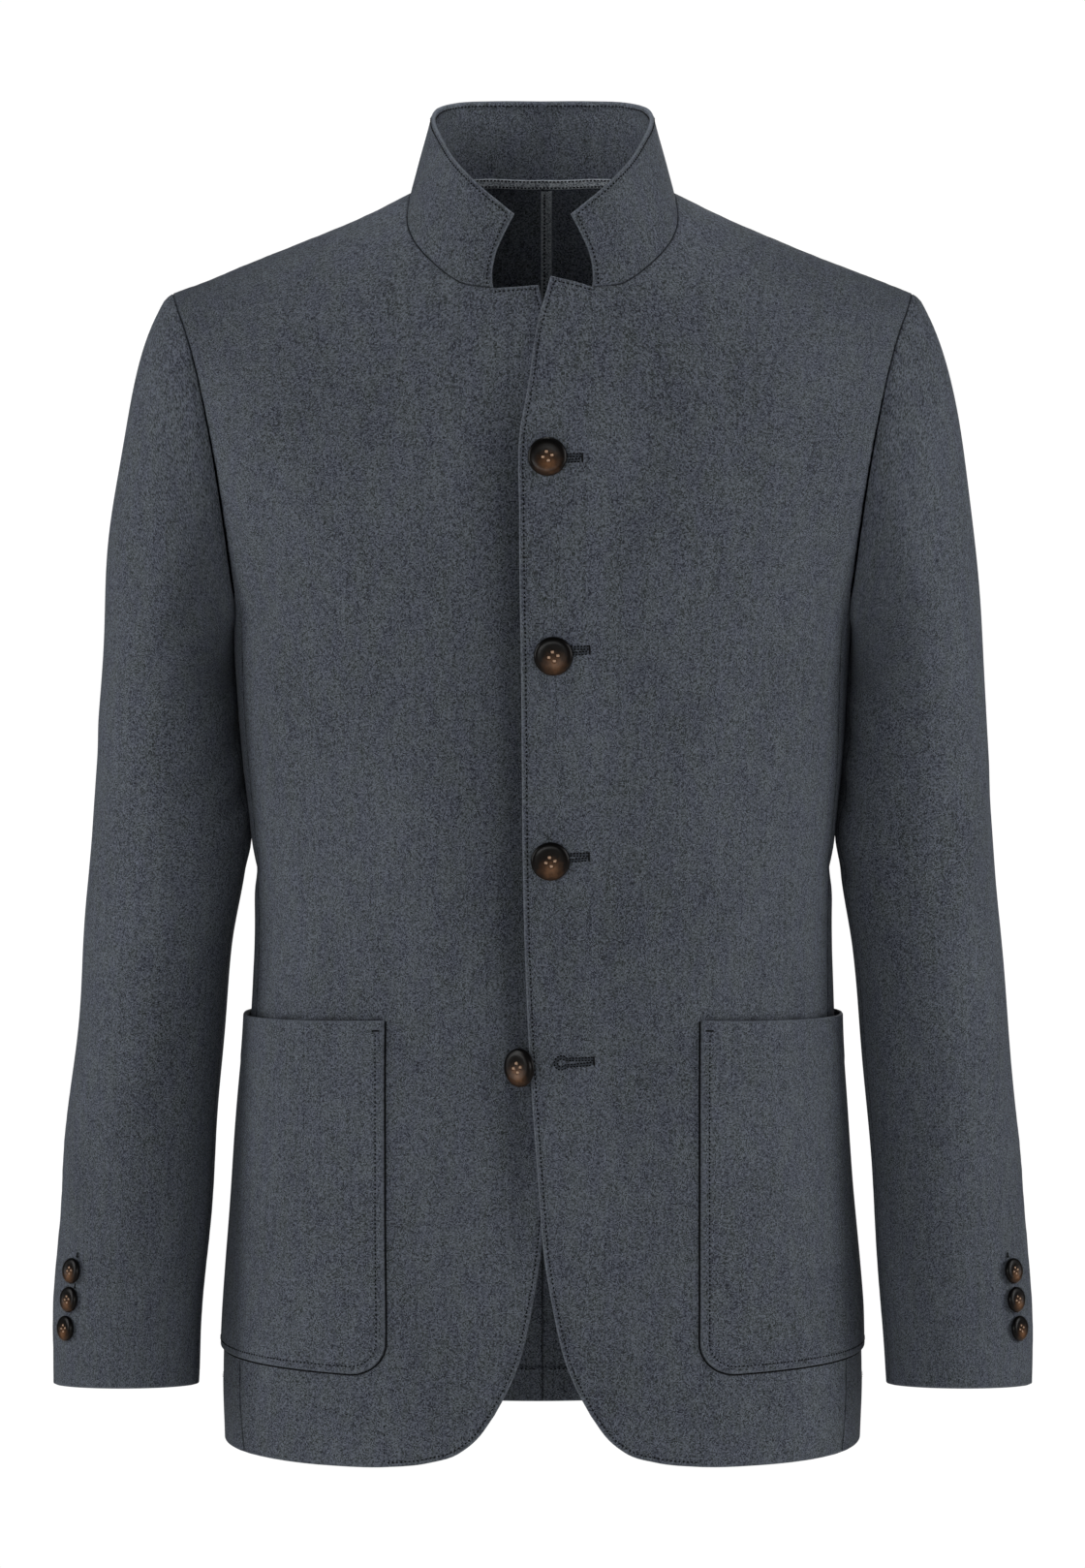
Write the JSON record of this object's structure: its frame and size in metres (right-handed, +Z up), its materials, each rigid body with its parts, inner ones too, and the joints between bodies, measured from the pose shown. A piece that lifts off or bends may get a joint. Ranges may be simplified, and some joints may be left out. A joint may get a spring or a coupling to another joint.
{
  "type": "blazer",
  "caption": "Hollow man's blazer, filled out as worn, with a stand collar, single-breasted buttoned front, patch pockets and buttoned cuffs, open at neck, hem and cuffs",
  "frame": {"origin": "midway between the two points where the shoulder seams meet the neckline, where the wearer's shoulders carry the blazer", "axes": "+X to the wearer's left, -Y out of the front, +Z up from hem to collar"},
  "size_m": [0.5918, 0.2956, 0.8125],
  "materials": {
    "cloth": "matt plain weave of wool and linen in slate grey-blue",
    "tape": "matt self-coloured tape and bias binding",
    "horn": "polished horn, dark brown with paler mottling"
  },
  "bodies": {
    "root": {"front_left": "cloth", "front_right": "cloth", "side_left": "cloth", "side_right": "cloth", "back_left": "cloth", "back_right": "cloth", "sleeve_top_left": "cloth", "sleeve_top_right": "cloth", "sleeve_under_left": "cloth", "sleeve_under_right": "cloth", "collar": "cloth", "pocket_left": "cloth", "pocket_right": "cloth", "neck_tape": "tape", "back_seam_binding": "tape", "button_front_1": "horn", "button_front_2": "horn", "button_front_3": "horn", "button_front_4": "horn", "button_cuff_left_1": "horn", "button_cuff_left_2": "horn", "button_cuff_left_3": "horn", "button_cuff_right_1": "horn", "button_cuff_right_2": "horn", "button_cuff_right_3": "horn"}
  },
  "joints": []
}
